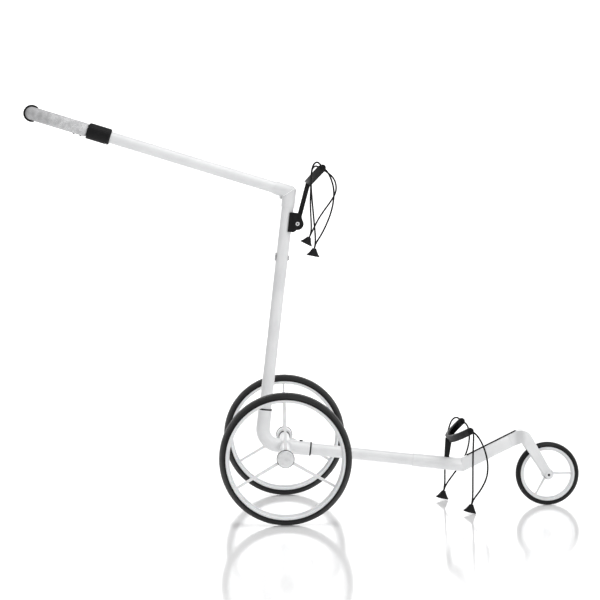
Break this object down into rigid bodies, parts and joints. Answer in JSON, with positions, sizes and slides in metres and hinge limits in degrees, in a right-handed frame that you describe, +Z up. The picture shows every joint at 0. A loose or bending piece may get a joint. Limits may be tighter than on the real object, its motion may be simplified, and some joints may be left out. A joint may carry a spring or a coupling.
{
  "type": "golf push trolley",
  "caption": "Folding three-wheel push trolley for a golf bag: leaning upright, angled handle with a sliding grip, beam to a small front wheel, and curved bag cradles with elastic cords.",
  "frame": {"origin": "on the floor under the middle of the trolley's footprint", "axes": "+X forward to the front wheel, +Y to the trolley's left, +Z up"},
  "size_m": [1.2986, 0.62, 0.9654],
  "materials": {
    "white_coat": "satin white powder coat",
    "rim_white": "semi-gloss white moulded nylon",
    "tyre_rubber": "matt, fine tread lines",
    "black_plastic": "fine-grained black moulding",
    "black_rubber": "soft black rubber",
    "elastic_cord": "elastic core under a black woven cover",
    "grip_leather": "mottled pale grey, stitched",
    "satin_metal": "satin",
    "dark_steel": "turned and oiled"
  },
  "bodies": {
    "frame": {"elbow_housing": "white_coat", "seal_rings": "black_plastic", "upright_tube": "white_coat", "through_bolt": "satin_metal", "top_casting": "white_coat", "handle_hinge_pin": "satin_metal", "bracket_block": "black_plastic", "block_screws": "dark_steel", "bracket_pin": "satin_metal", "lower_bracket": "black_plastic", "lower_pads": "black_rubber", "main_beam": "white_coat", "front_sleeve": "white_coat", "boom": "white_coat", "boom_strip": "black_rubber", "crown": "white_coat", "fork_legs": "white_coat", "front_axle_bolt": "satin_metal", "front_nut_and_spacers": "satin_metal", "axle_tube": "white_coat", "wheel_spindles": "dark_steel", "lower_cones": "black_rubber", "lower_cord_left_rear": "elastic_cord", "lower_cord_left_front": "elastic_cord", "lower_cord_right_rear": "elastic_cord", "lower_cord_right_front": "elastic_cord"},
    "handle": {"handle_knuckle": "white_coat", "handle_tube": "white_coat", "clamp_collar": "black_plastic", "clamp_lever_pin": "dark_steel"},
    "grip": {"inner_tube": "satin_metal", "guide_bush": "black_plastic", "grip_sleeve": "grip_leather", "grip_studs": "black_plastic", "grip_cap": "grip_leather", "grip_end_band": "black_plastic"},
    "clamp_lever": {"clamp_lever": "black_plastic"},
    "upper_cradle": {"upper_bracket": "black_plastic", "upper_pads": "black_rubber", "upper_cones": "black_rubber", "upper_cord_left_rear": "elastic_cord", "upper_cord_left_front": "elastic_cord", "upper_cord_right_rear": "elastic_cord", "upper_cord_right_front": "elastic_cord"},
    "left_wheel": {"left_tyre": "tyre_rubber", "left_rim": "rim_white", "left_bearings": "dark_steel", "left_hub_ring": "black_plastic", "left_hub_cap": "satin_metal"},
    "right_wheel": {"right_tyre": "tyre_rubber", "right_rim": "rim_white", "right_bearings": "dark_steel", "right_hub_ring": "black_plastic", "right_hub_cap": "satin_metal"},
    "front_wheel": {"front_tyre": "tyre_rubber", "front_rim": "rim_white", "front_bearings": "dark_steel"},
    "left_latch": {"left_latch_pin": "dark_steel"},
    "right_latch": {"right_latch_pin": "dark_steel"},
    "release_button": {"release_button": "black_plastic"}
  },
  "joints": [
    {"name": "handle_fold", "type": "hinge", "parent": "frame", "child": "handle", "pos_m": [-0.04579, 0, 0.73882], "axis": [0, -1, 0], "range_deg": [0, 90]},
    {"name": "grip_slide", "type": "slide", "parent": "handle", "child": "grip", "axis": [-0.9518, 0, 0.3067], "range_m": [0, 0.12]},
    {"name": "clamp_lever_turn", "type": "hinge", "parent": "handle", "child": "clamp_lever", "pos_m": [-0.45917, 0, 0.87254], "axis": [0, -1, 0], "range_deg": [0, 100]},
    {"name": "bracket_swing", "type": "hinge", "parent": "frame", "child": "upper_cradle", "pos_m": [-0.0087, 0, 0.67565], "axis": [0, 1, 0], "range_deg": [-6, 45]},
    {"name": "left_wheel_spin", "type": "hinge", "parent": "frame", "child": "left_wheel", "pos_m": [-0.04671, 0.28, 0.15], "axis": [0, 1, 0], "continuous": true},
    {"name": "right_wheel_spin", "type": "hinge", "parent": "frame", "child": "right_wheel", "pos_m": [-0.04671, -0.28, 0.15], "axis": [0, 1, 0], "continuous": true},
    {"name": "front_wheel_spin", "type": "hinge", "parent": "frame", "child": "front_wheel", "pos_m": [0.57429, 0, 0.075], "axis": [0, 1, 0], "continuous": true},
    {"name": "left_latch_slide", "type": "slide", "parent": "left_wheel", "child": "left_latch", "axis": [0.4384, 0, -0.8988], "range_m": [0, 0.003], "stiffness_N_per_m": 600, "springref_m": -0.002},
    {"name": "right_latch_slide", "type": "slide", "parent": "right_wheel", "child": "right_latch", "axis": [-0.4384, 0, -0.8988], "range_m": [0, 0.003], "stiffness_N_per_m": 600, "springref_m": -0.002},
    {"name": "button_press", "type": "slide", "parent": "frame", "child": "release_button", "axis": [-0.1219, 0, -0.9925], "range_m": [0, 0.003], "stiffness_N_per_m": 500, "springref_m": -0.002}
  ]
}
